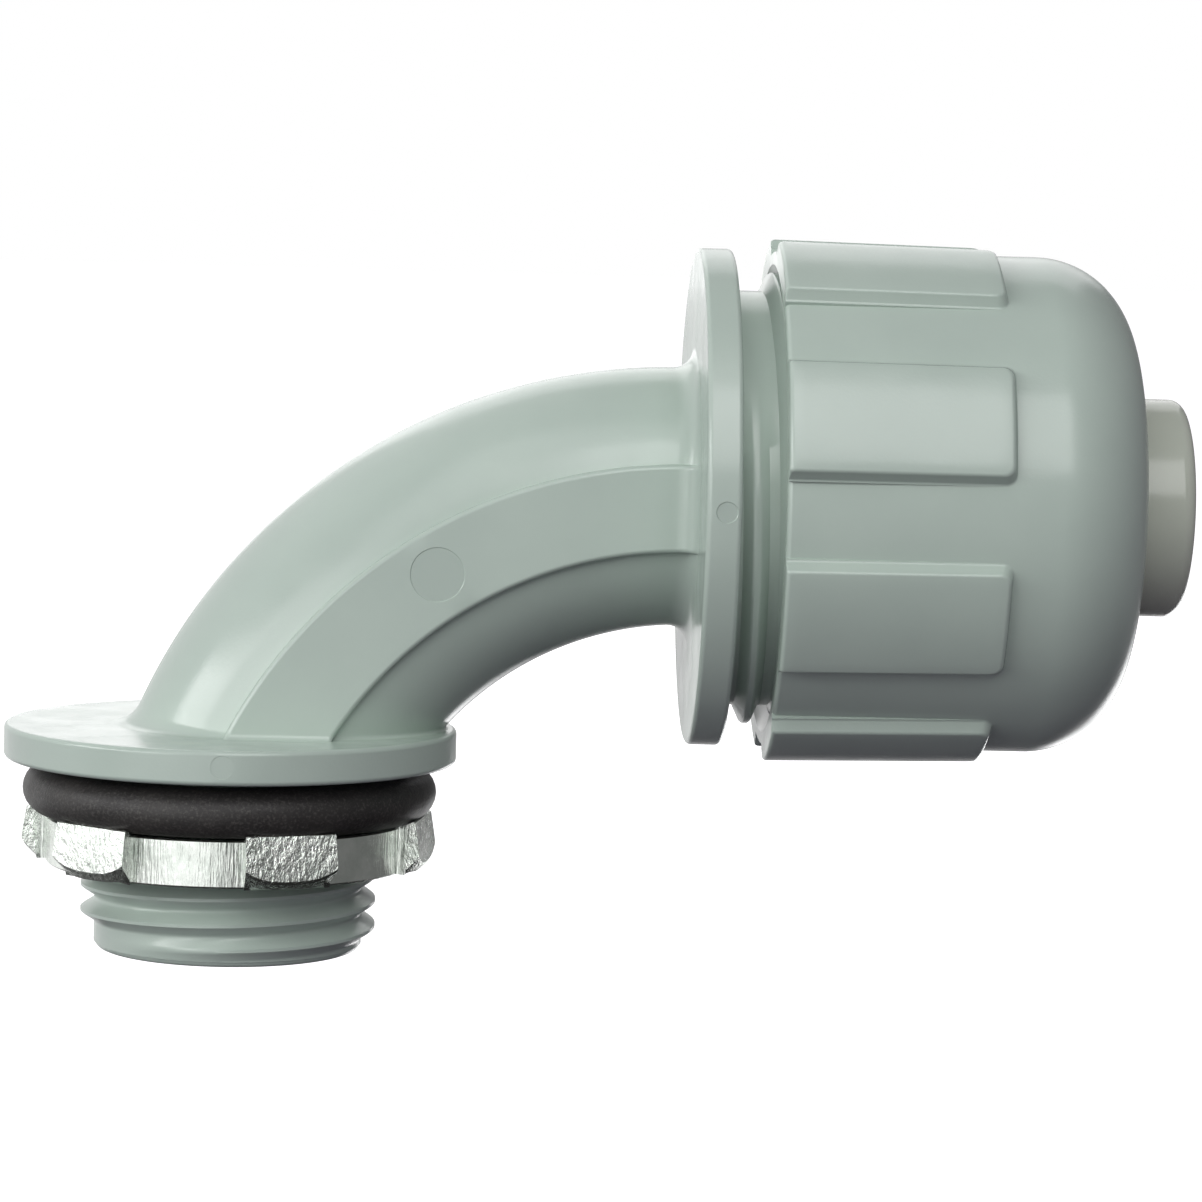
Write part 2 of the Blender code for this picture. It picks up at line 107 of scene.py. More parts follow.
# Round marks of ejector pins on the near side: (name, center, radius, depth)
SHADED_MARKS = [
    ("pad_mark", Vector((14.36 * MM, -PAD_HALF_WIDTH, 14.10 * MM)), 1.9 * MM, 0.05 * MM),
    ("rim_mark", Vector((33.57 * MM, -UPPER_FLANGE_RADIUS, GLAND_Z)), 0.75 * MM, 0.06 * MM),
]
PLAIN_MARKS = [
    ("foot_mark", Vector((0.2 * MM, -FLANGE_RADIUS, 1.3 * MM)), 0.8 * MM, 0.03 * MM),
]

# Spud and its thread. A thread's start is its crest's height where the turn angle is zero, its
# section gives (place in the pitch, lift), and its fade the turns over which it runs out.
SPUD_ROOT = 9.5 * MM
SPUD_DEPTH = 1.0 * MM
SPUD_PITCH = 1.814 * MM
SPUD_START = -11.80 * MM
SPUD_THREAD_END = -13.1 * MM
SPUD_LEAD = 9.4 * MM
SPUD_END = -13.5 * MM
SPUD_END_ROUND = 0.4 * MM
SPUD_FADE = (-0.42, -0.08)
SPUD_SECTION = [
    (-0.47, 0.0), (-0.38, 0.1), (-0.14, 0.78), (-0.06, 0.97),
    (0.06, 0.97), (0.14, 0.78), (0.38, 0.1), (0.47, 0.0),
]

# Gland neck's thread
NECK_ROOT = 14.7 * MM
NECK_DEPTH = 1.3 * MM
NECK_PITCH = 2.5 * MM
NECK_START = 36.39 * MM - NECK_PITCH * 0.75
NECK_SECTION = [(-0.36, 0.0), (-0.14, 0.9), (-0.07, 1.0), (0.07, 1.0), (0.14, 0.9), (0.36, 0.0)]
NECK_FADE = (0.36, 0.62)
NECK_LEAD_SLOPE = 1.2
THREAD_CLEARANCE = 0.12 * MM

# O-ring
O_RING_CENTER = 12.9 * MM
O_RING_CORD = 1.75 * MM
O_RING_Z = -2.2 * MM

# Locknut: six lugs, turned up at their tips, with rolled lower edges
NUT_TOP = -4.1 * MM
NUT_BOTTOM = -7.4 * MM
NOTCH_RADIUS = 13.0 * MM
LUG_ANGLE = math.radians(26.0)
LUG_RADIUS = 14.7 * MM
LUG_TIP = 0.5 * MM
FIRST_LUG = math.radians(-69.75)
LUGS = 6

# Compression nut
NUT_X = 37.6 * MM
NUT_RADIUS = 17.6 * MM
NUT_BORE = 15.0 * MM
DOME_X = 56.2 * MM
DOME_LENGTH = 6.7 * MM
CONDUIT_HOLE = 11.1 * MM
CHAMBER_X = 56.0 * MM
CONE_X = 61.0 * MM
RIM_ROUND = 0.35 * MM
RIBS = 8
RIB_TURN = math.radians(21.2)
RIB_ANGLE = math.radians(24.8)
RIB_RADIUS = 18.645 * MM
RIB_HALF_WIDTH = RIB_ANGLE * RIB_RADIUS / 2
RIB_END_RADIUS = 18.4 * MM
RIB_END_X = 52.8 * MM
RIB_CORNER = 0.75 * MM
RIB_RIM_CORNER = 0.2 * MM
RIB_ROUND = 0.3 * MM
RIB_DRAFT = 0.3 * MM
RIB_ROOT = 0.25 * MM

# Ferrule and compression ring
FERRULE_INNER = 6.6 * MM
FERRULE_OUTER = 7.75 * MM
FERRULE_X = 38.0 * MM
FERRULE_END_X = 67.1 * MM
FERRULE_ROUND = 1.0 * MM
COLLAR_RADIUS = 10.7 * MM
COLLAR_LENGTH = 1.5 * MM
RING_X = 53.3 * MM
RING_END_X = 58.9 * MM
RING_INNER = 11.0 * MM
RING_RADIUS = 13.9 * MM
RING_NOSE_RADIUS = 12.2 * MM
RING_NOSE_LENGTH = 3.4 * MM
RING_SPLIT = 1.2 * MM
EDGE_BREAK = 0.15 * MM

# Local +X is world +Y, local +Y is world +Z and local +Z is world +X
GLAND_FRAME = Matrix((
    (0, 0, 1, 0),
    (1, 0, 0, 0),
    (0, 1, 0, GLAND_Z),
    (0, 0, 0, 1),
))


# Mesh helpers

def new_object(name, points, faces, matrix=None):
    """Object from points and faces, welded, with its faces turned outwards."""
    mesh = bpy.data.meshes.new(name)
    mesh.from_pydata(np.reshape(points, (-1, 3)).tolist(), [], faces)
    bm = bmesh.new()
    bm.from_mesh(mesh)
    bmesh.ops.remove_doubles(bm, verts=bm.verts, dist=1e-7)
    bmesh.ops.dissolve_degenerate(bm, edges=bm.edges, dist=1e-7)
    bmesh.ops.recalc_face_normals(bm, faces=bm.faces)
    if matrix is not None:
        bm.transform(matrix)
    bm.to_mesh(mesh)
    bm.free()
    obj = bpy.data.objects.new(name, mesh)
    bpy.context.scene.collection.objects.link(obj)
    return obj


def grid_faces(rows, columns, wrap_rows=False):
    """Quads over a grid of points whose columns run round and close by welding."""
    faces = []
    for i in range(rows if wrap_rows else rows - 1):
        low = i * columns
        high = (i + 1) % rows * columns
        for j in range(columns - 1):
            faces.append((low + j, low + j + 1, high + j + 1, high + j))
    return faces


def rings(profile):
    """Lathe rows of plain rings, from (radius, height) pairs."""
    return [np.tile(pair, (SEGMENTS + 1, 1)) for pair in profile]


def lathe(name, rows, matrix=None, wrap=False):
    """Solid from rows of (radius, height) round the local Z axis, its outer side first."""
    turns = np.linspace(0, math.tau, SEGMENTS + 1)
    points = [
        np.stack([row[:, 0] * np.cos(turns), row[:, 0] * np.sin(turns), row[:, 1]], axis=1)
        for row in rows
    ]
    faces = grid_faces(len(rows), SEGMENTS + 1, wrap)
    return new_object(name, points, faces, matrix)


def loft(name, sections):
    """Closed skin through sections of equal length, with a cap on the first and the last."""
    closed = [[*section, section[0]] for section in sections]
    columns = len(closed[0])
    faces = grid_faces(len(closed), columns)
    last = (len(closed) - 1) * columns
    faces.append(list(range(columns - 2, -1, -1)))
    faces.append(list(range(last, last + columns - 1)))
    return new_object(name, [tuple(p) for section in closed for p in section], faces)


def arc(center, radius, start, end, steps=6):
    """Points of an arc in a profile, between two angles in degrees."""
    angles = np.radians(np.linspace(start, end, steps + 1))
    return [(center[0] + radius * math.cos(a), center[1] + radius * math.sin(a)) for a in angles]


def thread_rows(high, low, pitch, start, section, root, depth, fade=None, limit=None):
    """Lathe rows of a helical ridge between two heights, the highest first.

    The section gives the ridge's lift, 0 to 1, by its place in the pitch, -0.5 to 0.5. The lift
    rises over the turns from the start that fade names; limit caps the radius by height.
    """
    turn = np.arange(SEGMENTS + 1) / SEGMENTS
    places = np.array([p for p, _ in section])
    lifts = np.array([v for _, v in section])
    rows = []
    first = math.floor((low - start) / pitch) - 2
    last = math.ceil((high - start) / pitch) + 1
    for whole in range(last, first - 1, -1):
        for place in reversed(places):
            height = np.clip(start + pitch * (whole + place + turn), low, high)
            along = (height - start) / pitch - turn
            crest = np.round(along)
            lift = np.interp(along - crest, places, lifts)
            if fade is not None:
                lift = lift * ramp(crest + turn, *fade)
            radius = root + depth * lift
            if limit is not None:
                radius = limit(radius, height)
            rows.append(np.stack([radius, height], axis=1))
    return rows


def ramp(value, start, end):
    """Smooth step from 0 at start to 1 at end."""
    share = np.clip((value - start) / (end - start), 0, 1)
    return share * share * (3 - 2 * share)


def combine(base, added=(), removed=()):
    """Joins and cuts closed meshes, and keeps the result in the base."""
    steps = [(other, "UNION") for other in added] + [(other, "DIFFERENCE") for other in removed]
    for other, operation in steps:
        modifier = base.modifiers.new(other.name, "BOOLEAN")
        modifier.operation = operation
        modifier.solver = "EXACT"
        modifier.object = other
    bpy.context.view_layer.update()
    mesh = bpy.data.meshes.new_from_object(
        base.evaluated_get(bpy.context.evaluated_depsgraph_get())
    )
    base.modifiers.clear()
    base.data = mesh
    for other, _ in steps:
        bpy.data.objects.remove(other)
    return base


def place(obj, material, body, slot, *nodes, sharp=32):
    """Finishes a piece: shading, material, the body that it rides on and what it replaces."""
    obj.data.materials.clear()
    obj.data.materials.append(material)
    obj.data.shade_smooth()
    obj.data.set_sharp_from_angle(angle=math.radians(sharp))
    weighted = obj.modifiers.new("Even shading", "WEIGHTED_NORMAL")
    weighted.keep_sharp = True
    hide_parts(*nodes)
    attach(obj, body)


# Elbow

def bend_point(offset, y, angle):
    reach = BEND_RADIUS + offset
    return Vector((BEND_X - reach * math.cos(angle), y, BEND_Z + reach * math.sin(angle)))


def angle_at_height(offset, z):
    return math.asin((z - BEND_Z) / (BEND_RADIUS + offset))


def point_at_x(offset, y, x):
    if x >= BEND_X:
        return Vector((x, y, BEND_Z + BEND_RADIUS + offset))
    return bend_point(offset, y, math.acos((BEND_X - x) / (BEND_RADIUS + offset)))


def fillet_steps(count=8):
    """(distance from the flange, widening) of a unit quarter round, from the wall inwards."""
    angles = [math.pi / 2 * i / count for i in range(count + 1)]
    return [(1 - math.sin(a), 1 - math.cos(a)) for a in angles]


def elbow_tube():
    """Oval tube on the bend, cut level by the lower flange, with fillets at both flanges."""
    around = 144
    along = 64
    turns = [math.tau * i / around for i in range(around)]

    def outline(depth, widening):
        return [
            ((depth + widening(t)) * math.cos(t), (TUBE_RADIUS + widening(t)) * math.sin(t))
            for t in turns
        ]

    def foot_fillet(t):
        share = max(0.0, math.cos(t)) ** 2
        return FOOT_FILLET_INNER + (FOOT_FILLET_OUTER - FOOT_FILLET_INNER) * share

    sections = []
    for away, wider in reversed(fillet_steps()):
        points = outline(FOOT_HALF_DEPTH, lambda t: wider * foot_fillet(t))
        if not sections:
            buried = FLANGE_HEIGHT - BURIED
            sections.append([bend_point(u, y, angle_at_height(u, buried)) for u, y in points])
        sections.append([
            bend_point(u, y, angle_at_height(u, FLANGE_HEIGHT + away * foot_fillet(t)))
            for (u, y), t in zip(points, turns)
        ])
    starts = [
        angle_at_height(FOOT_HALF_DEPTH * math.cos(t), FLANGE_HEIGHT + foot_fillet(t))
        for t in turns
    ]
    for step in range(1, along):
        share = step / along
        depth = FOOT_HALF_DEPTH + (TUBE_RADIUS - FOOT_HALF_DEPTH) * share
        section = []
        for (u, y), start in zip(outline(depth, lambda t: 0.0), starts):
            end = math.acos((BEND_X - UPPER_FLANGE_X + TOP_FILLET) / (BEND_RADIUS + u))
            section.append(bend_point(u, y, start + (end - start) * share))
        sections.append(section)
    for away, wider in fillet_steps():
        points = outline(TUBE_RADIUS, lambda t: wider * TOP_FILLET)
        x = UPPER_FLANGE_X - away * TOP_FILLET
        sections.append([point_at_x(u, y, x) for u, y in points])
    points = outline(TUBE_RADIUS, lambda t: TOP_FILLET)
    sections.append([point_at_x(u, y, UPPER_FLANGE_X + BURIED) for u, y in points])
    return loft("tube", sections)


def pad_outline(wider, flare=0.0):
    """Rounded rectangle of the pads' band, as (offset, y) pairs.

    It is wider at a fillet, and flares outwards near its foot.
    """
    half = PAD_HALF_WIDTH + wider
    outer = PAD_OUTER + flare - PAD_EDGE
    corners = [
        (outer, half - PAD_EDGE, 0),
        (PAD_INNER + PAD_EDGE, half - PAD_EDGE, 90),
        (PAD_INNER + PAD_EDGE, PAD_EDGE - half, 180),
        (outer, PAD_EDGE - half, 270),
    ]
    return [
        point for u, y, start in corners for point in arc((u, y), PAD_EDGE, start, start + 90, 4)
    ]


def elbow_pads():
    """Band through the tube; its two sides, with rounded edges, stand out as the flat pads."""
    along = 80
    fillet = PAD_FOOT_FILLET

    def level(wider, z):
        outline = pad_outline(wider, PAD_FOOT_FLARE)
        return [bend_point(u, y, angle_at_height(u, z)) for u, y in outline]

    def upright(wider, x):
        return [point_at_x(u, y, x) for u, y in pad_outline(wider)]

    sections = [level(fillet, FLANGE_HEIGHT - BURIED)]
    for away, wider in reversed(fillet_steps()):
        sections.append(level(wider * fillet, FLANGE_HEIGHT + away * fillet))
    for step in range(1, along):
        share = step / along
        section = []
        for u, y in pad_outline(0.0, PAD_FOOT_FLARE * (1 - share) ** 2):
            start = angle_at_height(u, FLANGE_HEIGHT + fillet)
            end = math.acos((BEND_X - UPPER_FLANGE_X + TOP_FILLET) / (BEND_RADIUS + u))
            section.append(bend_point(u, y, start + (end - start) * share))
        sections.append(section)
    for away, wider in fillet_steps():
        sections.append(upright(wider * TOP_FILLET, UPPER_FLANGE_X - away * TOP_FILLET))
    sections.append(upright(TOP_FILLET, UPPER_FLANGE_X + BURIED / 2))
    return loft("pads", sections)


def elbow_bore():
    """Round passage with a flared mouth in the spud, on an arc of its own."""
    around = 96
    along = 48
    turns = [math.tau * i / around for i in range(around)]
    radius = GLAND_Z - BORE_ARC_Z
    center = Vector((radius, 0, BORE_ARC_Z))
    flared = BORE_RADIUS + BORE_MOUTH_FLARE
    straight = [
        (SPUD_END - BURIED, flared),
        (SPUD_END + BURIED, flared),
        (SPUD_END + BORE_MOUTH_DEPTH, BORE_RADIUS),
    ]
    sections = [
        [Vector((-r * math.cos(t), r * math.sin(t), z)) for t in turns] for z, r in straight
    ]
    for step in range(along + 1):
        turn = math.pi / 2 * step / along
        outward = Vector((-math.cos(turn), 0, math.sin(turn)))
        sections.append([
            center
            + outward * (radius + BORE_RADIUS * math.cos(t))
            + Vector((0, BORE_RADIUS * math.sin(t), 0))
            for t in turns
        ])
    end = SOCKET_X + BURIED
    sections.append([
        Vector((end, BORE_RADIUS * math.sin(t), GLAND_Z + BORE_RADIUS * math.cos(t)))
        for t in turns
    ])
    return loft("bore", sections)


def spud_rows(clearance=0.0, high=0.0, low=SPUD_THREAD_END, run_out=True):
    """Thread on the spud, or, with a clearance, the groove that runs on it in the locknut."""
    return thread_rows(
        high, low, SPUD_PITCH, SPUD_START, SPUD_SECTION,
        SPUD_ROOT + clearance, SPUD_DEPTH, SPUD_FADE if run_out else None,
    )


def neck_rows(clearance=0.0, high=NECK_END_X, low=NECK_X, run_out=True):
    """Thread on the gland neck, or, with a clearance, the groove in the compression nut."""
    def limit(radius, height):
        lead = (NECK_END_X - height) * NECK_LEAD_SLOPE
        return np.minimum(radius, NECK_ROOT - NECK_CHAMFER + lead)

    return thread_rows(
        high, low, NECK_PITCH, NECK_START, NECK_SECTION,
        NECK_ROOT + clearance, NECK_DEPTH,
        NECK_FADE if run_out else None, limit if run_out else None,
    )


def elbow_foot():
    """Lower flange and threaded spud."""
    lip = FLANGE_ROUND
    edge = FLANGE_RADIUS - lip
    lead = (SPUD_LEAD - SPUD_END_ROUND, SPUD_END + SPUD_END_ROUND)
    rows = rings([(0, FLANGE_HEIGHT), *arc((edge, FLANGE_HEIGHT - lip), lip, 90, 0)])
    rows += rings(arc((edge, lip), lip, 0, -90))
    rows += spud_rows()
    rows += rings(arc(lead, SPUD_END_ROUND, 0, -90))
    rows += rings([(0, SPUD_END)])
    return lathe("elbow", rows)


def elbow_neck():
    """Upper flange and threaded gland neck."""
    lip = FLANGE_ROUND
    edge = UPPER_FLANGE_RADIUS - lip
    rows = rings([(0, NECK_END_X)])
    rows += neck_rows()
    rows += rings(arc((edge, NECK_X - lip), lip, 90, 0))
    rows += rings(arc((edge, UPPER_FLANGE_X + lip), lip, 0, -90))
    rows += rings([(0, UPPER_FLANGE_X)])
    return lathe("neck", rows, GLAND_FRAME)


def elbow_socket():
    """Room for the ferrule and the conduit in the neck, with a seat for the ring."""
    return lathe("socket", rings([
        (0, NECK_END_X + BURIED),
        (SOCKET_RADIUS + SEAT_FLARE, NECK_END_X + BURIED),
        (SOCKET_RADIUS + SEAT_FLARE, NECK_END_X),
        (SOCKET_RADIUS, NECK_END_X - SEAT_DEPTH),
        (SOCKET_RADIUS, SOCKET_X),
        (0, SOCKET_X),
    ]), GLAND_FRAME)


def ejector_mark(name, center, radius, depth):
    """Cutter for a shallow round recess on the near side, whose walls lean at 45 degrees."""
    bpy.ops.mesh.primitive_cone_add(
        vertices=64, radius1=radius - depth, radius2=radius + depth, depth=2 * depth,
    )
    mark = bpy.context.active_object
    mark.name = name
    outward = Matrix.Rotation(math.radians(90), 4, "X")
    mark.data.transform(Matrix.Translation(center) @ outward)
    return mark


def make_elbow(material):
    elbow = combine(
        elbow_foot(),
        added=[elbow_tube(), elbow_pads(), elbow_neck()],
        removed=[
            elbow_bore(),
            elbow_socket(),
            *[ejector_mark(*mark) for mark in SHADED_MARKS + PLAIN_MARKS],
        ],
    )
    place(elbow, material, "connector", "grey_nylon", "elbow_body")


# Pieces on the spud

def make_o_ring(material):
    """Round cord, drawn in 24 steps and closed by wrapping."""
    cord = arc((O_RING_CENTER, O_RING_Z), O_RING_CORD, 0, -345, 23)
    seal = lathe("seal_ring", rings(cord), wrap=True)
    place(seal, material, "seal", "seal_rubber", "o_ring")


def lug_profile(across):
    """Outer side of a lug, top to bottom. across runs from -1 to 1 over its width.

    The outside is flat from side to side, and the lower edge rolls up towards both sides.
    """
    roll = abs(across) ** 3
    flat = math.cos(LUG_ANGLE / 2) / math.cos(across * LUG_ANGLE / 2)
    low = NUT_BOTTOM + (0.4 + 0.8 * roll) * MM
    tip = NUT_TOP + LUG_TIP
    under = LUG_RADIUS - (0.55 + 0.5 * roll) * MM
    return [
        (13.15 * MM, NUT_TOP),
        (14.05 * MM * flat, tip - 0.1 * MM),
        (14.2 * MM * flat, tip),
        (14.35 * MM * flat, tip - 0.08 * MM),
        (14.6 * MM * flat, -5.2 * MM),
        (LUG_RADIUS * flat, low + 0.25 * MM),
        ((LUG_RADIUS - 0.15 * MM) * flat, low),
        (under * flat, NUT_BOTTOM + (0.03 + 0.3 * roll) * MM),
        (13.6 * MM * flat, NUT_BOTTOM),
    ]


def notch_profile():
    """Upright side between two lugs, with as many points as a lug's side."""
    edge = 0.12 * MM
    heights = np.linspace(NUT_TOP - edge, NUT_BOTTOM + edge, 5)
    return [
        (NOTCH_RADIUS - 2 * edge, NUT_TOP),
        (NOTCH_RADIUS - edge, NUT_TOP),
        *[(NOTCH_RADIUS, z) for z in heights],
        (NOTCH_RADIUS - edge, NUT_BOTTOM),
        (NOTCH_RADIUS - 2 * edge, NUT_BOTTOM),
    ]


def locknut_sides():
    """(angle, outer profile) pairs once round: rough lugs and upright notches."""
    pitch = math.tau / LUGS
    notch_angle = pitch - LUG_ANGLE
    sides = []
    for lug in range(LUGS):
        middle = FIRST_LUG + lug * pitch
        for across in np.linspace(-1, 1, 17):
            sides.append((middle + across * LUG_ANGLE / 2, lug_profile(across)))
        for share in np.linspace(0.002, 0.998, 13):
            sides.append((middle + LUG_ANGLE / 2 + share * notch_angle, notch_profile()))
    return sides


def make_locknut(material):
    """Plate with six lugs, cut through by a threaded bore that runs on the spud's helix."""
    sides = locknut_sides()
    sections = []
    for row in range(len(sides[0][1])):
        sections.append([
            Vector((p[row][0] * math.cos(a), p[row][0] * math.sin(a), p[row][1]))
            for a, p in sides
        ])
    nut = loft("locknut_plate", sections)
    edge = 0.3 * MM
    above = NUT_TOP + BURIED
    below = NUT_BOTTOM - BURIED
    past = 0.01 * MM
    mouth = SPUD_ROOT + SPUD_DEPTH + THREAD_CLEARANCE + 0.1 * MM + edge
    rows = rings([(0, above), (mouth, above), (mouth, NUT_TOP + past)])
    rows += spud_rows(THREAD_CLEARANCE, NUT_TOP - edge, NUT_BOTTOM + edge, run_out=False)
    rows += rings([(mouth, NUT_BOTTOM - past), (mouth, below), (0, below)])
    nut = combine(nut, removed=[lathe("locknut_thread", rows)])
    place(nut, material, "locknut", "zinc_steel", "locknut", sharp=28)


# Pieces on the gland

def rib_outline():
    """Rounded rectangle of a rib as (x, sideways) pairs, turning from +x towards +sideways."""
    near = RIB_RIM_CORNER
    far = RIB_CORNER
    corners = [
        (RIB_END_X - far, RIB_HALF_WIDTH - far, far, 0),
        (NUT_X + near, RIB_HALF_WIDTH - near, near, 90),
        (NUT_X + near, near - RIB_HALF_WIDTH, near, 180),
        (RIB_END_X - far, far - RIB_HALF_WIDTH, far, 270),
    ]
    return [
        point
        for x, y, radius, start in corners
        for point in arc((x, y), radius, start, start + 90, 10)
    ]


def rib_point(x, sideways, lift, middle):
    """Point on a rib: lift is measured from its tapering top surface."""
    share = (x - NUT_X) / (RIB_END_X - NUT_X)
    radius = RIB_RADIUS + (RIB_END_RADIUS - RIB_RADIUS) * share + lift
    angle = middle + sideways / RIB_RADIUS
    return Vector((x, -radius * math.cos(angle), GLAND_Z + radius * math.sin(angle)))


def dense(points, step=0.45 * MM):
    """The same outline with its long runs divided, so that it can bend round the barrel."""
    result = []
    for (x0, y0), (x1, y1) in zip(points, points[1:] + points[:1]):
        count = max(1, round(math.hypot(x1 - x0, y1 - y0) / step))
        if count < 4:
            count = 1
        result += [(x0 + (x1 - x0) * i / count, y0 + (y1 - y0) * i / count) for i in range(count)]
    return result


def make_rib(index):
    """One grip rib: leaning sides, a rounded upper edge and a soft root."""
    middle = RIB_TURN + math.tau * index / RIBS
    height = RIB_END_RADIUS - NUT_RADIUS
    foot = RIB_DRAFT + RIB_ROOT
    steps = [(-foot, -height - 0.6 * MM), (-foot, -height - 0.1 * MM)]
    for angle in np.radians(np.linspace(0, 75, 5)):
        spread = RIB_DRAFT + RIB_ROOT * (1 - math.sin(angle))
        steps.append((-spread, -height + RIB_ROOT * (1 - math.cos(angle))))
    for angle in np.radians(np.linspace(10, 90, 6)):
        steps.append((RIB_ROUND * (1 - math.cos(angle)), -RIB_ROUND * (1 - math.sin(angle))))
    for share in (0.2, 0.4, 0.6, 0.8, 0.985):
        steps.append((RIB_ROUND + (RIB_HALF_WIDTH - RIB_ROUND) * share, 0.0))
    base = dense(rib_outline())
    sections = []
    for inset, lift in steps:
        # a flare outside the outline stops at the rim, where the rib ends flush
        outline = matched_outline(base, inset)
        sections.append([rib_point(max(x, NUT_X), y, lift, middle) for x, y in outline])
    return loft(f"rib_{index + 1}", sections)


def matched_outline(base, inset):
    """The base outline drawn in by the inset, point by point.

    A flare, whose inset is negative, spreads less at the rib's ends than at its sides.
    """
    center_x = (NUT_X + RIB_END_X) / 2
    reach = (RIB_END_X - NUT_X) / 2
    scale_y = (RIB_HALF_WIDTH - inset) / RIB_HALF_WIDTH
    scale_x = (reach - (0.4 * inset if inset < 0 else min(inset, reach))) / reach
    return [(center_x + (x - center_x) * scale_x, y * scale_y) for x, y in base]


def make_compression_nut(material):
    """Domed cap with a threaded bore, a cone inside and eight ribs."""
    rise = NUT_RADIUS - CONDUIT_HOLE
    dome = [
        (
            CONDUIT_HOLE + rise * math.cos(math.radians(a)),
            DOME_X + DOME_LENGTH * math.sin(math.radians(a)),
        )
        for a in np.linspace(85, 0, 34)
    ]
    end = DOME_X + DOME_LENGTH
    # the hole's rounded edge, the dome, the barrel and the rim
    rows = rings([
        (CONDUIT_HOLE, end - 0.45 * MM),
        (CONDUIT_HOLE + 0.06 * MM, end - 0.2 * MM),
        (CONDUIT_HOLE + 0.2 * MM, end - 0.06 * MM),
        *dome,
        *arc((NUT_RADIUS - RIM_ROUND, NUT_X + RIM_ROUND), RIM_ROUND, 0, -90),
        (NUT_BORE + 1.6 * MM, NUT_X),
        (NUT_BORE + 1.3 * MM, NUT_X + 0.3 * MM),
    ])
    # the bore: its thread, a relief behind it, the ring's chamber and the cone
    groove = neck_rows(THREAD_CLEARANCE, CHAMBER_X - 1.2 * MM, NUT_X + 0.7 * MM, run_out=False)
    rows += list(reversed(groove))
    rows += rings([
        (NUT_BORE + NECK_DEPTH, CHAMBER_X - 1.0 * MM),
        (NUT_BORE + 0.4 * MM, CHAMBER_X - 0.2 * MM),
        (NUT_BORE, CHAMBER_X),
        (CONDUIT_HOLE, CONE_X),
    ])
    nut = lathe("gland_nut", rows, GLAND_FRAME, wrap=True)
    nut = combine(nut, added=[make_rib(index) for index in range(RIBS)])
    place(nut, material, "gland_nut", "grey_nylon", "compression_nut")


def make_ferrule(material):
    """Sleeve with a rounded nose and a collar at its inner end."""
    nose = FERRULE_OUTER - FERRULE_ROUND
    collar = FERRULE_X + COLLAR_LENGTH
    rows = rings([
        (FERRULE_INNER, FERRULE_END_X - 0.25 * MM),
        (FERRULE_INNER + 0.08 * MM, FERRULE_END_X),
        *arc((nose, FERRULE_END_X - FERRULE_ROUND), FERRULE_ROUND, 88, 0, 8),
        (FERRULE_OUTER, collar + 0.3 * MM),
        (FERRULE_OUTER + 0.3 * MM, collar),
        (COLLAR_RADIUS - EDGE_BREAK, collar),
        (COLLAR_RADIUS, collar - EDGE_BREAK),
        (COLLAR_RADIUS, FERRULE_X + EDGE_BREAK),
        (COLLAR_RADIUS - EDGE_BREAK, FERRULE_X),
        (FERRULE_INNER + 0.2 * MM, FERRULE_X),
        (FERRULE_INNER, FERRULE_X + 0.2 * MM),
    ])
    sleeve = lathe("inner_sleeve", rows, GLAND_FRAME, wrap=True)
    place(sleeve, material, "connector", "sleeve_nylon", "ferrule")


def make_compression_ring(material):
    """Ring with a tapered nose, split at its top."""
    rows = rings([
        (RING_INNER, RING_END_X - EDGE_BREAK),
        (RING_INNER + EDGE_BREAK, RING_END_X),
        (RING_NOSE_RADIUS - EDGE_BREAK, RING_END_X),
        (RING_NOSE_RADIUS, RING_END_X - EDGE_BREAK),
        (RING_RADIUS, RING_END_X - RING_NOSE_LENGTH),
        (RING_RADIUS, RING_X + 0.8 * MM),
        (RING_RADIUS - 0.8 * MM, RING_X),
        (RING_INNER, RING_X),
    ])
    split = lathe("split_ring", rows, GLAND_FRAME, wrap=True)
    middle = (RING_X + RING_END_X) / 2
    bpy.ops.mesh.primitive_cube_add(size=1)
    slit = bpy.context.active_object
    size = Matrix.Diagonal((RING_END_X - RING_X + 2 * MM, RING_SPLIT, 8 * MM, 1))
    slit.data.transform(Matrix.Translation((middle, 0, GLAND_Z + RING_RADIUS)) @ size)
    split = combine(split, removed=[slit])
    place(split, material, "gland_ring", "ring_nylon", "compression_ring")


# Materials

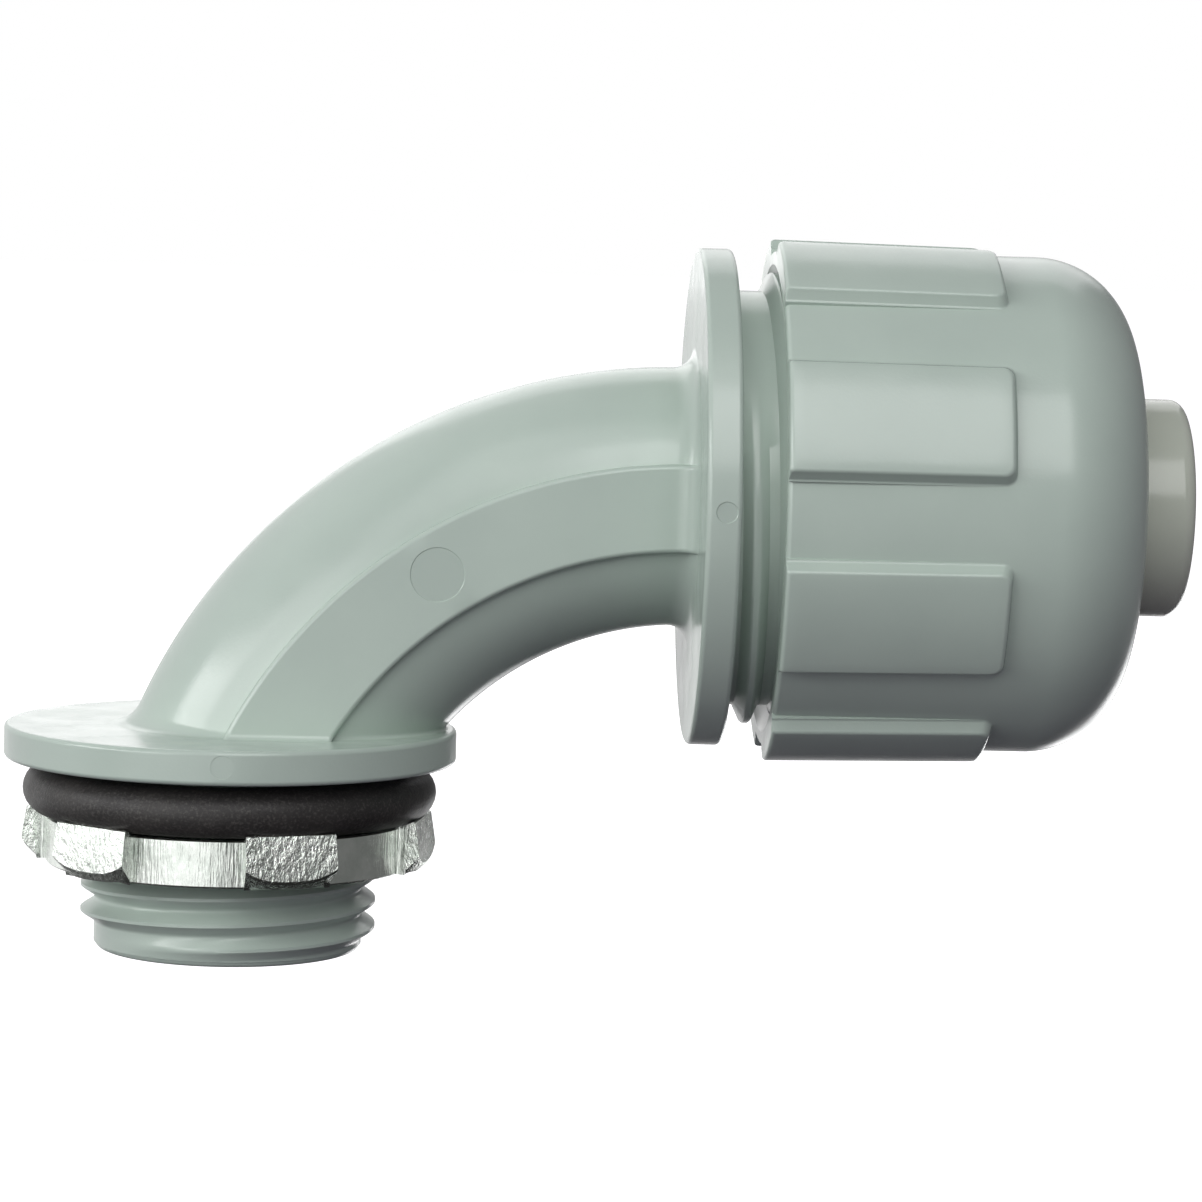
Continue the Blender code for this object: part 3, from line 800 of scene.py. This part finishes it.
class Nodes:
    """Adds and links the nodes of one shader tree."""

    def __init__(self, tree):
        self.tree = tree

    def add(self, kind, **settings):
        node = self.tree.nodes.new(kind)
        for key, value in settings.items():
            setattr(node, key, value)
        return node

    def link(self, output, socket):
        self.tree.links.new(output, socket)

    def feed(self, socket, value):
        """Sets a socket to a constant, or links it to another node's output."""
        if isinstance(value, bpy.types.NodeSocket):
            self.link(value, socket)
        else:
            socket.default_value = value

    def math(self, operation, first, second):
        node = self.add("ShaderNodeMath", operation=operation)
        self.link(first, node.inputs[0])
        self.link(second, node.inputs[1])
        return node.outputs[0]

    def vector_math(self, operation, vector, other=None):
        node = self.add("ShaderNodeVectorMath", operation=operation)
        self.link(vector, node.inputs[0])
        if other is not None:
            node.inputs[1].default_value = other
        return node.outputs

    def range(self, value, low, high, from_low=0.3, from_high=0.7):
        """Maps a value in a range to one between low and high. Noise lies mostly in 0.3 to 0.7."""
        node = self.add("ShaderNodeMapRange")
        node.inputs["From Min"].default_value = from_low
        node.inputs["From Max"].default_value = from_high
        node.inputs["To Min"].default_value = low
        node.inputs["To Max"].default_value = high
        self.link(value, node.inputs["Value"])
        return node.outputs["Result"]

    def mix(self, value, first, second):
        """Blend of two colours, each a triple or an output."""
        node = self.add("ShaderNodeMix", data_type="RGBA")
        self.link(value, node.inputs["Factor"])
        for socket, color in ((node.inputs["A"], first), (node.inputs["B"], second)):
            self.feed(socket, (*color, 1.0) if isinstance(color, tuple) else color)
        return node.outputs["Result"]

    def mix_numbers(self, value, first, second):
        node = self.add("ShaderNodeMix")
        self.link(value, node.inputs["Factor"])
        self.feed(node.inputs["A"], first)
        self.feed(node.inputs["B"], second)
        return node.outputs["Result"]

    def ray(self, *kinds):
        """1 for rays of the named kinds, 0 for all others."""
        path = self.add("ShaderNodeLightPath")
        total = path.outputs[kinds[0]]
        for kind in kinds[1:]:
            total = self.math("MAXIMUM", total, path.outputs[kind])
        return total

    def toward(self, vector, direction, near, far, low, high):
        """A level that runs from low to high as the vector leans towards a direction."""
        lean = self.vector_math("DOT_PRODUCT", vector, direction)["Value"]
        return self.range(lean, low, high, near, far)


class Material(Nodes):
    """A material's nodes, with the textures and the relief that the finishes share."""

    def __init__(self, name):
        self.material = bpy.data.materials.new(name)
        self.material.use_nodes = True
        super().__init__(self.material.node_tree)
        self.shader = self.tree.nodes["Principled BSDF"]
        self.coords = self.add("ShaderNodeTexCoord").outputs["Object"]

    def stretched(self, scale):
        """Coordinates scaled by axis, which stretches a texture along the smallest."""
        node = self.add("ShaderNodeMapping")
        node.inputs["Scale"].default_value = scale
        self.link(self.coords, node.inputs["Vector"])
        return node.outputs["Vector"]

    def noise(self, scale, detail=3.0, rough=0.5, vector=None):
        node = self.add("ShaderNodeTexNoise")
        node.inputs["Scale"].default_value = scale
        node.inputs["Detail"].default_value = detail
        node.inputs["Roughness"].default_value = rough
        self.link(vector or self.coords, node.inputs["Vector"])
        return node.outputs["Fac"]

    def disc(self, center, radius):
        """1 near the centre, 0 outside the radius."""
        distance = self.vector_math("DISTANCE", self.coords, center)["Value"]
        return self.range(distance, 1.0, 0.0, 0.96 * radius, radius)

    def bump(self, height, distance, strength=1.0, before=None):
        node = self.add("ShaderNodeBump")
        node.inputs["Distance"].default_value = distance
        node.inputs["Strength"].default_value = strength
        self.link(height, node.inputs["Height"])
        if before is not None:
            self.link(before, node.inputs["Normal"])
        return node.outputs["Normal"]

    def finish(self, color, roughness, normal, metallic=0.0):
        self.link(color, self.shader.inputs["Base Color"])
        self.link(roughness, self.shader.inputs["Roughness"])
        self.link(normal, self.shader.inputs["Normal"])
        self.shader.inputs["Metallic"].default_value = metallic
        return self.material


def moulded_nylon(name, color, darker, roughness, discs=()):
    """Satin moulding: faint flow clouds in the colour, a fine eggshell grain and slight sinks.

    Discs, each a (center, radius), come out a shade darker.
    """
    nodes = Material(name)
    clouds = nodes.range(nodes.noise(90, 4), 0.0, 1.0)
    specks = nodes.range(nodes.noise(900, 2), 0.0, 1.0)
    blend = nodes.mix(clouds, darker, color)
    blend = nodes.mix(nodes.range(specks, 0.0, 0.12, 0.0, 1.0), blend, darker)
    for center, radius in discs:
        shade = tuple(0.96 * level for level in darker)
        blend = nodes.mix(nodes.disc(center, radius), blend, shade)
    gloss = nodes.range(nodes.noise(350, 4), roughness - 0.03, roughness + 0.06)
    waves = nodes.bump(nodes.noise(120, 2), 0.00008, 0.6)
    grain = nodes.bump(nodes.noise(4200, 3), 0.000012, 0.6, waves)
    return nodes.finish(blend, gloss, grain)


def black_rubber():
    """Matt rubber with dusty specks."""
    nodes = Material("seal_rubber")
    clouds = nodes.range(nodes.noise(260, 4), 0.0, 1.0)
    color = nodes.mix(clouds, (0.018, 0.017, 0.017), (0.034, 0.032, 0.030))
    dust = nodes.range(nodes.noise(5200, 3, 0.7), 0.0, 1.0, 0.5, 0.7)
    color = nodes.mix(dust, color, (0.075, 0.072, 0.066))
    gloss = nodes.range(nodes.noise(500, 4), 0.38, 0.5)
    nodes.shader.inputs["Specular IOR Level"].default_value = 0.35
    grain = nodes.bump(nodes.noise(4200, 4, 0.65), 0.00006, 0.8)
    return nodes.finish(color, gloss, grain)


def stamped_zinc():
    """Bright zinc plate: upright shear marks in the notches, torn and pitted ends on the lugs."""
    nodes = Material("zinc_steel")
    level = nodes.vector_math("MULTIPLY", nodes.coords, (1, 1, 0))["Vector"]
    radius = nodes.vector_math("LENGTH", level)["Value"]
    on_lug = nodes.range(radius, 0.0, 1.0, 13.3 * MM, 13.9 * MM)
    bloom = nodes.noise(500, 5, 0.6)
    color = nodes.mix(nodes.range(bloom, 0.0, 1.0), (0.66, 0.71, 0.66), (0.88, 0.91, 0.87))
    gloss = nodes.range(nodes.noise(900, 3), 0.16, 0.27)
    shear = nodes.noise(1.0, 3, 0.5, nodes.stretched((5200, 5200, 600)))
    shear = nodes.range(shear, 0.0, 0.75, 0.0, 1.0)
    torn = nodes.noise(1.0, 4, 0.6, nodes.stretched((3000, 3000, 1500)))
    torn = nodes.range(torn, 0.0, 2.8, 0.0, 1.0)
    height = nodes.mix_numbers(on_lug, shear, torn)
    depth = nodes.bump(height, 0.00008, 0.9)
    waves = nodes.bump(nodes.noise(600, 2), 0.00008, 0.6, depth)
    return nodes.finish(color, gloss, waves, 1.0)


# Surroundings

def aim(obj, location, target):
    direction = Vector(target) - Vector(location)
    obj.location = location
    obj.rotation_euler = direction.to_track_quat("-Z", "Y").to_euler()


def add_lights():
    for name, location, size, power in LAMPS:
        data = bpy.data.lights.new(name, "AREA")
        data.shape = "RECTANGLE"
        data.size, data.size_y = size
        data.energy = power
        light = bpy.data.objects.new(name, data)
        light.visible_camera = False
        bpy.context.scene.collection.objects.link(light)
        aim(light, location, LAMP_TARGET)


def add_world():
    """White to the camera and through glass. Reflections see the studio: white screens behind
    and at the left, a card in front, a gleam low behind, a dim room and a dull floor."""
    world = bpy.data.worlds.new("studio")
    bpy.context.scene.world = world
    world.use_nodes = True
    nodes = Nodes(world.node_tree)
    direction = nodes.add("ShaderNodeTexCoord").outputs["Generated"]
    screens = nodes.toward(direction, *WHITE_SCREENS)
    mirrored = nodes.math("MULTIPLY", screens, nodes.toward(direction, *ABOVE_FLOOR))
    for panel in (FRONT_CARD, LOW_GLEAM):
        mirrored = nodes.math("MAXIMUM", mirrored, nodes.toward(direction, *panel))
    lit = nodes.mix_numbers(nodes.ray("Is Glossy Ray"), AMBIENT, mirrored)
    seen = nodes.mix_numbers(nodes.ray("Is Camera Ray", "Is Transmission Ray"), lit, 1.0)
    tint = nodes.mix(nodes.ray("Is Diffuse Ray"), (1.0, 1.0, 1.0), AMBIENT_TINT)
    background = nodes.tree.nodes["Background"]
    nodes.link(tint, background.inputs["Color"])
    nodes.link(seen, background.inputs["Strength"])


def add_floor():
    """White where it is seen, with the object's soft shadow; dull to the light it bounces."""
    bpy.ops.mesh.primitive_plane_add(size=40, location=(0, 0, FLOOR_Z))
    floor = bpy.context.active_object
    floor.name = "floor"
    floor.visible_glossy = False
    material = bpy.data.materials.new("pale_floor")
    material.use_nodes = True
    nodes = Nodes(material.node_tree)
    nodes.tree.nodes.remove(nodes.tree.nodes["Principled BSDF"])
    dull = nodes.add("ShaderNodeBsdfDiffuse")
    dull.inputs["Color"].default_value = (*FLOOR_BOUNCE, 1)
    white = nodes.add("ShaderNodeBsdfDiffuse")
    white.inputs["Color"].default_value = (*FLOOR_SEEN, 1)
    coords = nodes.add("ShaderNodeTexCoord").outputs["Object"]
    reach = nodes.vector_math("LENGTH", coords)["Value"]
    glow = nodes.add("ShaderNodeEmission")
    nodes.link(nodes.range(reach, *FLOOR_GLOW, *FLOOR_GLOW_REACH), glow.inputs["Strength"])
    both = nodes.add("ShaderNodeAddShader")
    nodes.link(white.outputs[0], both.inputs[0])
    nodes.link(glow.outputs[0], both.inputs[1])
    choose = nodes.add("ShaderNodeMixShader")
    nodes.link(nodes.ray("Is Camera Ray", "Is Transmission Ray"), choose.inputs["Fac"])
    nodes.link(dull.outputs[0], choose.inputs[1])
    nodes.link(both.outputs[0], choose.inputs[2])
    nodes.link(choose.outputs[0], nodes.tree.nodes["Material Output"].inputs["Surface"])
    floor.data.materials.append(material)


def add_camera():
    """Camera at the photograph's angle. A positive azimuth turns it towards the left side."""
    forward = Vector((
        math.sin(CAMERA_AZIMUTH) * math.cos(CAMERA_ELEVATION),
        math.cos(CAMERA_AZIMUTH) * math.cos(CAMERA_ELEVATION),
        -math.sin(CAMERA_ELEVATION),
    ))
    level = Vector((math.cos(CAMERA_AZIMUTH), -math.sin(CAMERA_AZIMUTH), 0))
    upright = level.cross(forward)
    right = level * math.cos(CAMERA_ROLL) - upright * math.sin(CAMERA_ROLL)
    up = upright * math.cos(CAMERA_ROLL) + level * math.sin(CAMERA_ROLL)
    data = bpy.data.cameras.new("camera")
    data.lens = CAMERA_LENS
    data.sensor_width = CAMERA_SENSOR
    data.sensor_fit = "HORIZONTAL"
    data.clip_start = 0.01
    camera = bpy.data.objects.new("camera", data)
    bpy.context.scene.collection.objects.link(camera)
    turn = Matrix((right, up, -forward)).transposed().to_4x4()
    camera.matrix_world = Matrix.Translation(CAMERA_TARGET - forward * CAMERA_DISTANCE) @ turn
    bpy.context.scene.camera = camera


def corners(box):
    return [list(corner) for corner in box]


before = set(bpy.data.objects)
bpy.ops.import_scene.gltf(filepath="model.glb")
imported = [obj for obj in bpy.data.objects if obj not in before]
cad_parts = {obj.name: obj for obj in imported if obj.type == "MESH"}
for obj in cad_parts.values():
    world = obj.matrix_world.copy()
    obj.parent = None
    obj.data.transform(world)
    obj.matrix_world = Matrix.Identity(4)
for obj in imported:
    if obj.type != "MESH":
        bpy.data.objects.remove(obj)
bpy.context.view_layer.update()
bpy.context.scene.view_settings.view_transform = "Standard"

add_camera()
add_lights()
add_world()
add_floor()

discs = [(center, radius) for _, center, radius, _ in SHADED_MARKS]
nylon = moulded_nylon("grey_nylon", (0.463, 0.557, 0.488), (0.428, 0.517, 0.455), 0.2, discs)
sleeve_nylon = moulded_nylon("sleeve_nylon", (0.570, 0.622, 0.522), (0.536, 0.587, 0.493), 0.16)
ring_nylon = moulded_nylon("ring_nylon", (0.600, 0.610, 0.585), (0.560, 0.570, 0.545), 0.42)

make_elbow(nylon)
make_compression_nut(nylon)
make_ferrule(sleeve_nylon)
make_compression_ring(ring_nylon)
make_o_ring(black_rubber())
make_locknut(stamped_zinc())
